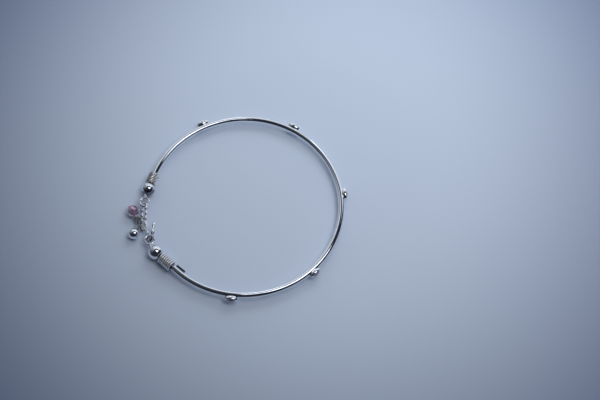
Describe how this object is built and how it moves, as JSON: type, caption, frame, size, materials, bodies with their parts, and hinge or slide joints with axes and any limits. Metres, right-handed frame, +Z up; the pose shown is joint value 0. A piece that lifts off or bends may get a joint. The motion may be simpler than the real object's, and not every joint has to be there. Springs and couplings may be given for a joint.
{
  "type": "ankle bangle",
  "caption": "Round-wire silver ankle bangle, open at one side, with oval studs, wire-wound balled ends, a hook and ring clasp, and bead and ball charms.",
  "frame": {"origin": "centre of the hoop's circle, on the plane that the bangle lies on", "axes": "+Z up, along the hoop's axis; -X towards the clasp; +Y from the front end towards the back end"},
  "size_m": [0.0861, 0.0778, 0.0058],
  "materials": {
    "silver": "mirror-polished silver",
    "worn_silver": "bright drawn silver wire, lightly tarnished in the grooves",
    "stone": "pale pink faceted stone",
    "pink_glass": "faceted pink glass"
  },
  "bodies": {
    "root": {"hoop": "silver", "stud_stone_1": "stone", "stud_stone_2": "stone", "stud_stone_3": "stone", "stud_stone_4": "stone", "stud_stone_5": "stone", "end_coil_front": "worn_silver", "end_ball_front": "silver", "end_ring_front": "silver", "end_coil_back": "worn_silver", "end_ball_back": "silver", "end_ring_back": "silver", "hook_clasp": "silver", "charm_jump_ring": "worn_silver", "charm_bead": "pink_glass", "charm_bead_pin": "worn_silver", "charm_ball": "silver"}
  },
  "joints": []
}
